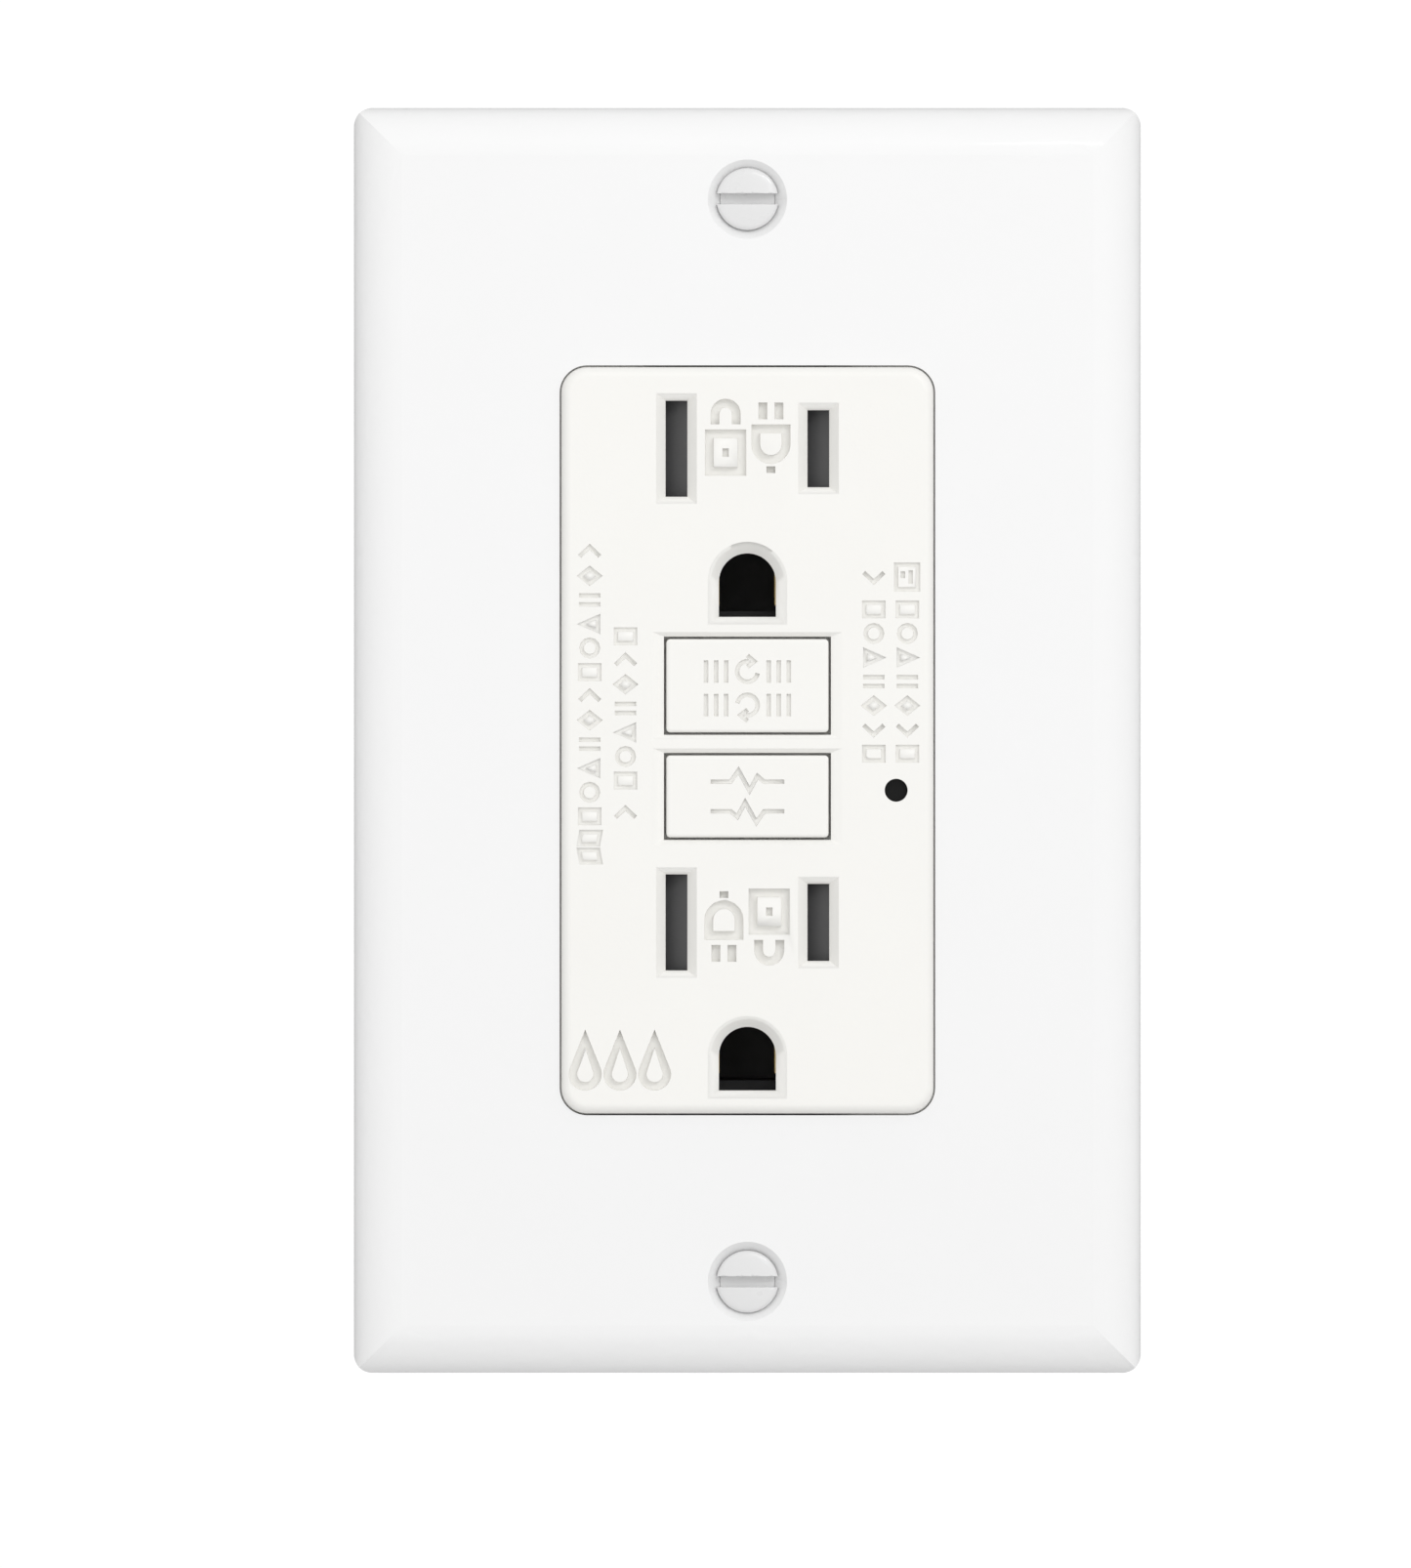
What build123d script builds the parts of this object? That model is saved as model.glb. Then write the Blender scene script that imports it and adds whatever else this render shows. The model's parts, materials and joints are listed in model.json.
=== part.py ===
from build123d import *
import os

# A ground-fault receptacle with its wall plate. Millimetres. The wall plane is y = 0, the
# front faces -Y, +Z is up, and the origin is the centre of the strap's screw pattern.
# A span is a (low, high) pair along one axis. side is -1 or +1 and mirrors a piece in X.

# Wall plate
PLATE_WIDTH, PLATE_HEIGHT = 70.6, 113.5
PLATE_FRONT = 5.6             # front of the plate, measured from the wall
PLATE_WALL = 1.9
PLATE_CORNER = 1.8
BEVEL_ACROSS, BEVEL_BACK = 4.4, 3.0
OPENING_WIDTH, OPENING_HEIGHT, OPENING_CORNER = 33.6, 67.1, 2.45
OPENING_COLLAR = 1.1          # wall of the stiffening collar behind the opening
PLATE_SCREW_Z = 48.42         # plate screws are 96.84 mm apart
COUNTERSINK_R = 3.55
HEAD_R = 2.87                 # oval head of a plate screw
HEAD_SLOPE = 0.869            # radius over depth of an 82 degree countersink
SCREW_R = 1.75                # 6-32 thread
SCREW_NECK_R = 1.55           # unthreaded neck of a box screw, inside its retainer
RETAINER = (0.05, 0.45)       # fibre washer behind the strap
NECK_END = 0.48

# Device face and housing
FACE_WIDTH, FACE_HEIGHT, FACE_CORNER = 33.3, 66.8, 2.3
FACE_FRONT = -6.4
FACE_BACK = -4.4
FACE_EDGE = 0.9               # rounding round the front of the face
FACE_WALL = 1.6
BODY_WIDTH, BODY_HEIGHT = 42.4, 69.4
BODY_WALL = 1.8
FLANGE = (0.3, 2.0)
PARTING = 7.2                 # where the front cover meets the rear housing
BODY_BACK = 31.0
BACK_WALL = 2.4
FIT = 0.05                    # gap between pieces that touch without moving

# Receptacles: blade slots 12.7 mm apart, ground pin 11.9 mm below their centre line
SLOT_X = 6.35
SLOT_WIDTH = 1.95
NEUTRAL_HEIGHT, HOT_HEIGHT = 8.6, 6.9
SLOT_Z = {"upper": 26.1, "lower": -16.3}
GROUND_DROP = 11.9
GROUND_WIDTH, GROUND_HEIGHT = 5.1, 5.7
SLOT_LIP, SLOT_LIP_DEPTH = 0.85, 1.1
GROUND_LIP, GROUND_LIP_DEPTH = 1.0, 1.3

# Buttons and indicator
BUTTON_WIDTH = 14.5
BUTTON_FRONT, BUTTON_UNDERSIDE = -6.45, -1.6
RESET_Z, RESET_HEIGHT = 4.88, 8.34
TEST_Z, TEST_HEIGHT = -5.02, 7.34
BUTTON_GAP = 0.22
BUTTON_FRAME = 1.0            # how far the shallow frame flares at the sides
BUTTON_FRAME_DEPTH = 0.35
BUTTON_FLANGE = (-4.3, -3.3)   # keeps a button behind the face
LIGHT_X, LIGHT_Z, LIGHT_R = 13.3, -4.47, 1.03

# Shutters
SHUTTER = (-4.2, -2.2)
SHUTTER_HALF = 5.0
SHUTTER_TRAVEL = 2.6
RAMP = 2.6                    # width of the slope that a blade pushes on
SHUTTER_SPAN = (-11.6, 8.9)
GUIDE_HALF_WIDTH = 14.3
SPRING_SEAT_X = 13.6

# Strap
STRAP = 1.2                   # sheet thickness
STRAP_TOP = 52.6
LEG = (33.7, 34.9)
LEG_HALF = 7.5
SPINE = (6.0, 7.2)
BOX_SCREW_Z = 41.67           # box screws are 83.34 mm apart
GROUND_HOLE_R = 2.9           # hole in the strap for a ground pin
GROUND_HOLE_BELOW = 3.4       # how far its square lower part reaches
RIVET_X, RIVET_HOLE_R = 5.2, 0.92
GROUND_SCREW_X, GROUND_SCREW_Y = -12.2, 11.5

# Contacts and terminals
SHEET = 0.8                   # brass sheet
BAR_X = (10.0, 10.8)
BAR = (7.5, 11.5)
TRAY_FLOOR = (12.6, 14.0)
TERMINAL_Z = 17.0
TERMINAL_Y = 19.6
TERMINAL_X = (17.3, 18.1)
CLAMP_X = (15.1, 16.3)
TERMINAL_SCREW_R = 2.0
WIRE_HOLE_R, WIRE_HOLE_X, WIRE_HOLE_APART = 1.5, 15.9, 7.2
ARM_X = (8.3, 11.3)
ARM = (14.9, 15.3)
ARM_ROOT_Z = -12.0
ARM_ROLL_R = 0.28
CONTACT_X, CONTACT_Z, CONTACT_R = 9.6, 7.3, 1.4

# Circuit board, latch, solenoid and sensor
BOARD = (16.4, 18.0)
HOUSING_SCREW_X, HOUSING_SCREW_Z, HOUSING_SCREW_R = 17.2, 30.7, 1.3
COLUMN_R = 2.6                # columns that take the housing screws
PIN = (-4.0, 24.9)            # the reset pin, from inside the button to its tip
PIN_R, PIN_NECK_R = 1.5, 0.9
LATCH = (21.9, 22.7)
SOLENOID_Y = 22.6
SENSOR_Z = -15.5

PARTS_FOLDER = "parts"
RECEPTACLES = ("upper", "lower")
SIDES = {"neutral": -1, "hot": 1}
ENDS = {"line": -1, "load": 1}


# ---------- shapes used by many pieces ----------
def block(x, y, z):
    """A box from three spans."""
    spans = (x, y, z)
    size = [high - low for low, high in spans]
    middle = [(high + low) / 2 for low, high in spans]
    return Pos(*middle) * Box(*size)


def about(middle, half):
    """The span that reaches half to each side of its middle."""
    return (middle - half, middle + half)


def sided(side, span):
    """A span mirrored in X for the left side."""
    return tuple(sorted(side * value for value in span))


def rod(radius, span, across=(0, 0), along="y"):
    """A cylinder along x, y or z. across holds its other two coordinates, in order."""
    length = span[1] - span[0]
    middle = (span[0] + span[1]) / 2
    first, second = across
    if along == "x":
        return Pos(middle, first, second) * Rot(0, 90, 0) * Cylinder(radius, length)
    if along == "y":
        return Pos(first, middle, second) * Rot(90, 0, 0) * Cylinder(radius, length)
    return Pos(first, second, middle) * Cylinder(radius, length)


def facing(y, x=0, z=0):
    """A plane that looks towards the front, with X to the right and Z up."""
    return Plane(origin=(x, y, z), x_dir=(1, 0, 0), z_dir=(0, -1, 0))


def plate_of(sketch, y, x=0, z=0):
    """A flat piece of any outline between two depths."""
    return extrude(facing(y[1], x, z) * sketch, y[1] - y[0])


def rounded(width, height, y, corner, z=0):
    """A flat piece with rounded corners."""
    return plate_of(RectangleRounded(width, height, corner), y, z=z)


def turned(points, x=0, z=0):
    """A solid of revolution about a line along Y, from (radius, y) points."""
    return Pos(x, 0, z) * revolve(make_face(Polyline(*points, close=True)), Axis.Y)


def ground_z(receptacle):
    return SLOT_Z[receptacle] - GROUND_DROP


def corners(x, z):
    """The four points at plus and minus x and z."""
    return [(right * x, up * z) for right in (-1, 1) for up in (-1, 1)]


def save(name, shape):
    export_step(shape, os.path.join(PARTS_FOLDER, name + ".step"))


def save_group(name, pieces):
    """Separate solids that share one node."""
    save(name, Compound(children=[Solid(piece.solids()[0].wrapped) for piece in pieces]))


# ---------- wall plate ----------
def bevel_cutter(half, depth):
    """The space outside the rounded bevel along the right-hand edge of a block, along Z."""
    past = 4
    shoulder = depth - BEVEL_BACK
    middle = (half - BEVEL_ACROSS, -shoulder)
    bevel = EllipticalCenterArc(middle, BEVEL_ACROSS, BEVEL_BACK, start_angle=270, arc_size=90)
    sides = Polyline((half, -shoulder), (half, past), (0, past), (0, -depth), (middle[0], -depth))
    section = make_face([bevel, sides])
    around = Pos(half, 0) * Rectangle(4 * past, 4 * past)
    return extrude(around - section, PLATE_HEIGHT, both=True)


def bevelled_block(width, height, depth, corner):
    """A block whose four front edges are rounded bevels that meet in mitres."""
    raw = rounded(width, height, (-depth, 0), corner)
    for half, turn in ((width / 2, 0), (width / 2, 180), (height / 2, 90), (height / 2, 270)):
        raw = raw - Rot(0, turn, 0) * bevel_cutter(half, depth)
    return raw


def wall_plate():
    shell = bevelled_block(PLATE_WIDTH, PLATE_HEIGHT, PLATE_FRONT, PLATE_CORNER)
    inside = (PLATE_WIDTH - 2 * PLATE_WALL, PLATE_HEIGHT - 2 * PLATE_WALL)
    shell = shell - bevelled_block(*inside, PLATE_FRONT - PLATE_WALL, PLATE_CORNER / 2)
    inner_face = PLATE_WALL - PLATE_FRONT
    collar = OPENING_WIDTH + 2 * OPENING_COLLAR, OPENING_HEIGHT + 2 * OPENING_COLLAR
    collar_back, boss_back, boss_r = -1.6, -1.4, 3.0
    shell = shell + rounded(*collar, (inner_face - FIT, collar_back), OPENING_CORNER + OPENING_COLLAR)
    for z in (-PLATE_SCREW_Z, PLATE_SCREW_Z):
        shell = shell + rod(boss_r, (inner_face - FIT, boss_back), (0, z))
    shell = shell - rounded(OPENING_WIDTH, OPENING_HEIGHT, (-PLATE_FRONT - 1, 0), OPENING_CORNER)
    for z in (-PLATE_SCREW_Z, PLATE_SCREW_Z):
        shell = shell - countersink(z)
    return shell


def countersink(z):
    """An 82 degree countersink and the clearance hole behind it."""
    hole = 2.0
    depth = (COUNTERSINK_R - hole) / HEAD_SLOPE
    points = [(0, -PLATE_FRONT), (COUNTERSINK_R, -PLATE_FRONT), (hole, depth - PLATE_FRONT)]
    points += [(hole, 0), (0, 0)]
    return turned(points, z=z)


def plate_screw(z):
    """A slotted oval-head screw, its head's edge just inside the countersink."""
    edge = -PLATE_FRONT + (COUNTERSINK_R - HEAD_R) / HEAD_SLOPE - FIT
    crown = -PLATE_FRONT - 0.02
    shank = SCREW_R - FIT
    neck = edge + (HEAD_R - shank) / HEAD_SLOPE
    tip, slot_depth, slot_half = 6.0, 0.95, 0.52
    dome = ThreePointArc((0, crown), (HEAD_R * 0.55, crown + 0.3 * (edge - crown)), (HEAD_R, edge))
    below = Polyline((HEAD_R, edge), (shank, neck), (shank, tip), (0, tip), (0, crown))
    screw = revolve(make_face([dome, below]), Axis.Y)
    screw = screw - block(about(0, HEAD_R), (crown - 1, crown + slot_depth), about(0, slot_half))
    return Pos(0, 0, z) * screw


# ---------- front cover ----------
def flared(inner, outer, depth, x, z):
    """The space of a window whose front edge is a bevel from the outer to the inner outline."""
    lip_end = FACE_FRONT + depth
    front = loft([facing(FACE_FRONT, x, z) * outer, facing(lip_end, x, z) * inner], ruled=True)
    return front + plate_of(inner, (lip_end, FACE_BACK + 0.1), x, z)


def slot_space(side, z):
    height = HOT_HEIGHT if side > 0 else NEUTRAL_HEIGHT
    inner = Rectangle(SLOT_WIDTH, height)
    outer = Rectangle(SLOT_WIDTH + 2 * SLOT_LIP, height + 1.5 * SLOT_LIP)
    return flared(inner, outer, SLOT_LIP_DEPTH, side * SLOT_X, z)


def ground_space(z):
    """A ground pin's hole: a cone over its round top and a bevel down to its square bottom."""
    radius, below = GROUND_WIDTH / 2, GROUND_HEIGHT - GROUND_WIDTH / 2
    lip_y = FACE_FRONT + GROUND_LIP_DEPTH
    cone = turned([(0, FACE_FRONT), (radius + GROUND_LIP, FACE_FRONT), (radius, lip_y), (0, lip_y)], z=z)
    inner = Pos(0, -below / 2) * Rectangle(GROUND_WIDTH, below)
    outer_below = below + 0.7 * GROUND_LIP
    outer = Pos(0, -outer_below / 2) * Rectangle(GROUND_WIDTH + 2 * GROUND_LIP, outer_below)
    round_hole = rod(radius, (lip_y, FACE_BACK + 0.1), (0, z))
    return cone + round_hole + flared(inner, outer, GROUND_LIP_DEPTH, 0, z)


def button_space(z, height):
    width = BUTTON_WIDTH + 2 * BUTTON_GAP
    inner = Rectangle(width, height + 2 * BUTTON_GAP)
    outer = Rectangle(width + 2 * BUTTON_FRAME, height + 2 * BUTTON_GAP + 0.8 * BUTTON_FRAME)
    return flared(inner, outer, BUTTON_FRAME_DEPTH, 0, z)


def face_cover():
    face = rounded(FACE_WIDTH, FACE_HEIGHT, (FACE_FRONT, FLANGE[1]), FACE_CORNER)
    face = fillet(face.faces().sort_by(Axis.Y)[0].edges(), FACE_EDGE)
    skirt = rounded(BODY_WIDTH, BODY_HEIGHT, (FLANGE[0], PARTING - FIT), 1.5)
    skirt_inside = (BODY_WIDTH - 2 * BODY_WALL, BODY_HEIGHT - 2 * BODY_WALL)
    skirt = skirt - rounded(*skirt_inside, (FLANGE[1], PARTING), 1.0)
    cover = face + skirt
    face_inside = (FACE_WIDTH - 2 * FACE_WALL, FACE_HEIGHT - 2 * FACE_WALL)
    cover = cover - rounded(*face_inside, (FACE_BACK, FLANGE[1]), 1.0)
    for end in (-1, 1):
        groove = sided(end, (LEG[0] - FIT, BODY_HEIGHT / 2))
        cover = cover - block(about(0, LEG_HALF + 0.2), (FLANGE[0], PARTING), groove)
        doorway = sided(end, (BODY_HEIGHT / 2 - BODY_WALL, BODY_HEIGHT / 2))
        cover = cover - block(about(0, LEG_HALF + 0.2), (SPINE[0] - FIT, PARTING), doorway)
    for x, z in corners(HOUSING_SCREW_X, HOUSING_SCREW_Z):
        cover = cover + rod(COLUMN_R, (FLANGE[1] - 0.2, PARTING - FIT), (x, z))
        cover = cover - rod(HOUSING_SCREW_R + 0.02, (2.6, PARTING), (x, z))
    for receptacle in RECEPTACLES:
        for side in SIDES.values():
            cover = cover - slot_space(side, SLOT_Z[receptacle])
        cover = cover - ground_space(ground_z(receptacle))
    cover = cover - button_space(RESET_Z, RESET_HEIGHT)
    cover = cover - button_space(TEST_Z, TEST_HEIGHT)
    return cover - rod(LIGHT_R, (FACE_FRONT, FACE_BACK), (LIGHT_X, LIGHT_Z))


def button(z, height):
    """A button cap with the flange that keeps it behind the face."""
    corner, edge, beside, above = 0.35, 0.3, 0.7, 0.4
    cap = rounded(BUTTON_WIDTH, height, (BUTTON_FRONT, BUTTON_UNDERSIDE), corner, z)
    cap = fillet(cap.faces().sort_by(Axis.Y)[0].edges(), edge)
    flange = block(about(0, BUTTON_WIDTH / 2 + beside), BUTTON_FLANGE, about(z, height / 2 + above))
    return cap + flange


def reset_button():
    return button(RESET_Z, RESET_HEIGHT) - rod(PIN_R, (PIN[0], BUTTON_UNDERSIDE), (0, RESET_Z))


def reset_pin():
    """The steel pin behind the reset button, with the neck and head that the latch holds."""
    front, tip = PIN
    neck, head, tip_r = 18.5, 23.1, 0.5
    points = [(0, front), (PIN_R, front), (PIN_R, neck), (PIN_NECK_R, neck), (PIN_NECK_R, head)]
    points += [(PIN_R, head), (tip_r, tip), (0, tip)]
    return turned(points, z=RESET_Z)


def coil_envelope(radius, wire, span, across, along):
    """The tube that a coil spring fills."""
    return rod(radius + wire / 2, span, across, along) - rod(radius - wire / 2, span, across, along)


def test_button():
    stem = block(about(0, 1.4), (BUTTON_UNDERSIDE, 1.8), about(TEST_Z, 1.2))
    return button(TEST_Z, TEST_HEIGHT) + stem


def test_leaf():
    """A C-shaped brass leaf under the test button, 3 mm wide and 0.3 mm thick."""
    thickness, bend, low, high = 0.3, 1.4, 2.0, 4.8
    bend_z = TEST_Z - 1.4
    outer = RectangleRounded(8, 2 * bend + thickness, bend)
    inner = RectangleRounded(8 - 2 * thickness, 2 * bend - thickness, bend - thickness)
    ring = outer - inner
    side_view = Plane(origin=(0, (low + high) / 2, bend_z + 2.6), x_dir=(0, 0, 1), z_dir=(-1, 0, 0))
    leaf = extrude(side_view * ring, 1.5, both=True)
    return leaf & block(about(0, 2), (low - 1, high + 1), (TEST_Z - 4, TEST_Z + 2.4))


def indicator_light_pipe():
    pipe_r, collar_r, front, back = 0.95, 1.7, -5.0, 11.9
    collar = (-4.3, -3.5)
    points = [(0, front), (pipe_r, front), (pipe_r, collar[0]), (collar_r, collar[0])]
    points += [(collar_r, collar[1]), (pipe_r, collar[1]), (pipe_r, back), (0, back)]
    return turned(points, LIGHT_X, LIGHT_Z)


def indicator_led():
    base, lens_r, rim_r = BOARD[0], 1.5, 1.9
    rim = base - 0.8
    points = [(0, 12.1), (1.1, 12.4), (lens_r, 13.2), (lens_r, rim), (rim_r, rim), (rim_r, base)]
    return turned(points + [(0, base)], LIGHT_X, LIGHT_Z)


# ---------- shutters ----------
def shutter_slider(z):
    """A sliding shutter. Its windows stand beside the slots until it moves."""
    slider = block(SHUTTER_SPAN, SHUTTER, about(z, SHUTTER_HALF))
    for side in SIDES.values():
        half = (HOT_HEIGHT if side > 0 else NEUTRAL_HEIGHT) / 2 + 0.2
        middle, half_window = side * SLOT_X - SHUTTER_TRAVEL, 1.1
        slider = slider - block(about(middle, half_window), SHUTTER, about(z, half))
        edge, front = middle + half_window, SHUTTER[0]
        ramp = Polyline((edge, SHUTTER[1] - 0.6), (edge, front), (edge + RAMP, front), close=True)
        slider = slider - Pos(0, 0, z) * extrude(make_face(ramp), half, both=True)
    return slider


def shutter_guide(z):
    """The tray that carries a shutter: floor, two rails, a stop and the spring's seat."""
    floor, rail = (-2.1, -1.1), (-4.3, -2.1)
    outer = SHUTTER_HALF + 0.6
    guide = block(about(0, GUIDE_HALF_WIDTH), floor, about(z, outer))
    for end in (-1, 1):
        edge = tuple(z + value for value in sided(end, (SHUTTER_HALF + FIT, outer)))
        guide = guide + block(about(0, GUIDE_HALF_WIDTH), rail, edge)
    guide = guide + block((-12.4, SHUTTER_SPAN[0] - FIT), rail, about(z, outer))
    guide = guide + block((SPRING_SEAT_X, GUIDE_HALF_WIDTH), rail, about(z, outer))
    for side in SIDES.values():
        half = (HOT_HEIGHT if side > 0 else NEUTRAL_HEIGHT) / 2 + 0.1
        guide = guide - block(about(side * SLOT_X, 1.15), floor, about(z, half))
    return guide


# ---------- strap and grounding ----------
def strap_ear(end):
    """One end of the strap: a tongue and a wide ear, with a box screw slot and a tapped hole."""
    tongue = Pos(0, end * 39.7) * Rectangle(19, 12)
    ear = Pos(0, end * (STRAP_TOP - 4.5)) * RectangleRounded(27, 9, 4)
    outline = tongue + ear
    slot_width, slot_height = 7.4, 4.2
    outline = outline - Pos(0, end * BOX_SCREW_Z) * SlotOverall(slot_width, slot_height)
    outline = outline - Pos(0, end * PLATE_SCREW_Z) * Circle(SCREW_R)
    ear_plate = plate_of(outline, (-STRAP, 0))
    return ear_plate + block(about(0, LEG_HALF), (-STRAP, SPINE[1]), sided(end, LEG))


def pin_window(y, z):
    """The space of a ground pin's hole in the strap and its clip: round above, square below."""
    below = block(about(0, GROUND_HOLE_R), y, (z - GROUND_HOLE_BELOW, z))
    return rod(GROUND_HOLE_R, y, (0, z)) + below


def strap_spine():
    """The part of the strap between the covers: it stays clear of the blade contacts."""
    pad_half = 5.0
    spine = Rectangle(6.4, 2 * LEG[1])
    for end in (-1, 1):
        spine = spine + Pos(0, end * (LEG[1] - 0.95)) * Rectangle(2 * LEG_HALF, 1.9)
    spine = spine + Pos(0, 0.85) * Rectangle(16.4, 20.9)
    spine = spine - Pos(0, 0.5) * Rectangle(10.4, 17.6)
    for receptacle in RECEPTACLES:
        z = ground_z(receptacle)
        spine = spine + Pos(0, z) * Rectangle(14.8, 2 * pad_half)
    for receptacle in RECEPTACLES:
        for side in SIDES.values():
            spine = spine - Pos(side * RIVET_X, ground_z(receptacle)) * Circle(RIVET_HOLE_R)
    sheet = plate_of(spine, SPINE)
    for receptacle in RECEPTACLES:
        sheet = sheet - pin_window(SPINE, ground_z(receptacle))
    return sheet


def mounting_strap():
    strap = strap_spine() + strap_ear(1) + strap_ear(-1)
    wing = block((-16.4, -8.0), (-STRAP, 0), (-39.5, -LEG[1]))
    tab = block((-16.4, -8.0), (-STRAP, 16.5), (-LEG[1] - STRAP, -LEG[1]))
    strap = strap + wing + tab
    return strap - rod(2.03, (-40, -30), (GROUND_SCREW_X, GROUND_SCREW_Y), "z")


def ground_contact(z):
    """A brass clip behind the strap: two leaves that hold the ground pin."""
    clip = block(about(0, 6.8), (SPINE[1], SPINE[1] + 0.6), (z - 3.1, z + 4.4))
    clip = clip - pin_window((SPINE[0], 9.0), z)
    for side in SIDES.values():
        clip = clip - rod(RIVET_HOLE_R, (SPINE[0], 9.0), (side * RIVET_X, z))
        clip = clip + block(sided(side, (2.5, 3.1)), (SPINE[1], 14.8), (z - 1.9, z + 2.4))
    return clip


def contact_rivet(x, z):
    """A rivet with a flat head on each side of the strap and its clip."""
    face_r, rim_r, shank_r = 1.1, 1.5, 0.9
    front, back = (5.5, SPINE[0]), (7.8, 8.3)
    points = [(0, front[0]), (face_r, front[0]), (rim_r, front[1]), (shank_r, front[1])]
    points += [(shank_r, back[0]), (rim_r, back[0]), (face_r, back[1]), (0, back[1])]
    return turned(points, x, z)


def box_screw(z):
    """A pan-head slotted screw that holds the strap to the box."""
    head_r, top = 3.43, -3.1
    points = [(0, top), (head_r - 0.8, top), (head_r, top + 0.8), (head_r, -STRAP)]
    points += [(SCREW_NECK_R, -STRAP), (SCREW_NECK_R, NECK_END), (SCREW_R, NECK_END)]
    points += [(SCREW_R, 23.4), (SCREW_R - 0.6, 24.0), (0, 24.0)]
    screw = turned(points, z=z)
    return screw - block(about(0, head_r), (top - 1, top + 1.0), about(z, 0.5))


def screw_retainer(z):
    """A fibre washer that keeps a box screw in the strap."""
    return rounded(10, 9, RETAINER, 1.0, z) - rod(SCREW_NECK_R + 0.01, (0, 1), (0, z))


def ground_screw():
    """A hexagon-head screw with a slot, in the strap's side tab."""
    seat = -LEG[1] - STRAP
    flange = rod(4.3, (seat - 0.8, seat), (GROUND_SCREW_X, GROUND_SCREW_Y), "z")
    hexagon = Pos(GROUND_SCREW_X, GROUND_SCREW_Y, seat - 2.7) * extrude(RegularPolygon(3.6, 6), 2.0)
    shank = rod(TERMINAL_SCREW_R, (seat, -31.4), (GROUND_SCREW_X, GROUND_SCREW_Y), "z")
    screw = flange + hexagon + shank
    return screw - block(about(GROUND_SCREW_X, 4), about(GROUND_SCREW_Y, 0.6), (seat - 4, seat - 1.6))


# ---------- contacts and terminals ----------
def blade_clip(side, z):
    """A brass clip that grips one blade, open to the front, with a foot to its bar."""
    inner_leaf, outer_leaf = (4.92, 5.52), (7.18, 7.78)
    depth, floor = (3.0, 12.55), (12.0, 12.55)
    leaf_z, foot_z = about(z, 3.2), about(z, 3.0)
    clip = block(sided(side, inner_leaf), depth, leaf_z)
    clip = clip + block(sided(side, outer_leaf), depth, leaf_z)
    clip = clip + block(sided(side, (inner_leaf[0], outer_leaf[1])), floor, leaf_z)
    return clip + block(sided(side, (outer_leaf[0], BAR_X[1])), (BAR[1] - SHEET, BAR[1]), foot_z)


def terminal_plate(side, end):
    """The brass plate under a terminal screw."""
    z = end * TERMINAL_Z
    plate = block(sided(side, TERMINAL_X), (15.0, 24.0), about(z, 5.0))
    return plate - rod(2.4, sided(side, (16, 19)), (TERMINAL_Y, z), "x")


def contact_strip(side):
    """Both blade clips of one side, their bar, the fixed contact's seat and the load terminal."""
    strip = block(sided(side, BAR_X), BAR, (-19.5, 29.3))
    for receptacle in RECEPTACLES:
        strip = strip + blade_clip(side, SLOT_Z[receptacle])
    seat_z = about(CONTACT_Z, 2.0)
    strip = strip + block(sided(side, (7.8, BAR_X[1])), (BAR[1] - SHEET, BAR[1]), seat_z)
    riser_z = about(TERMINAL_Z, 3.0)
    strip = strip + block(sided(side, BAR_X), (BAR[1] - 1, 15.8), riser_z)
    strip = strip + block(sided(side, (BAR_X[0], TERMINAL_X[1])), (15.0, 15.8), riser_z)
    return strip + terminal_plate(side, ENDS["load"])


def line_terminal(side):
    """The line terminal plate and the foot that carries the moving contact arm."""
    foot = block(sided(side, (ARM_X[0], TERMINAL_X[1])), (15.0, 15.8), (-21.0, ARM_ROOT_Z - 0.3))
    return terminal_plate(side, ENDS["line"]) + foot


def fixed_contact(side):
    """A silver contact riveted through its seat on the contact strip."""
    return rod(CONTACT_R, (BAR[1], 13.9), (side * CONTACT_X, CONTACT_Z))


def moving_contact(side):
    return rod(CONTACT_R, (13.95, ARM[0]), (side * CONTACT_X, CONTACT_Z))


def contact_arm(side):
    """The springy arm that carries the moving contact, with a rolled root on the line it bends about."""
    root = rod(ARM_ROLL_R, sided(side, ARM_X), (sum(ARM) / 2, ARM_ROOT_Z), "x")
    return block(sided(side, ARM_X), ARM, (ARM_ROOT_Z, 8.9)) + root


def terminal_screw(side, end):
    """A binding-head screw with a slot, along X."""
    z = end * TERMINAL_Z
    head = rod(4.1, sided(side, (TERMINAL_X[1] + 0.02, 20.6)), (TERMINAL_Y, z), "x")
    shank = rod(TERMINAL_SCREW_R, sided(side, (11.9, 19.0)), (TERMINAL_Y, z), "x")
    rims = head.edges().filter_by(GeomType.CIRCLE).sort_by(Axis.X)
    screw = fillet(rims[-1 if side > 0 else 0], 0.7) + shank
    return screw - block(sided(side, (19.4, 21.0)), about(TERMINAL_Y, 0.6), about(z, 4.2))


def clamp_plate(side, end):
    """The threaded plate that squeezes a wire against its terminal."""
    z = end * TERMINAL_Z
    plate = block(sided(side, CLAMP_X), (16.7, 23.4), about(z, 5.0))
    hub = rod(3.0, sided(side, (13.6, 15.5)), (TERMINAL_Y, z), "x")
    return plate + hub - rod(TERMINAL_SCREW_R + 0.03, sided(side, (13, 17)), (TERMINAL_Y, z), "x")


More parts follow.
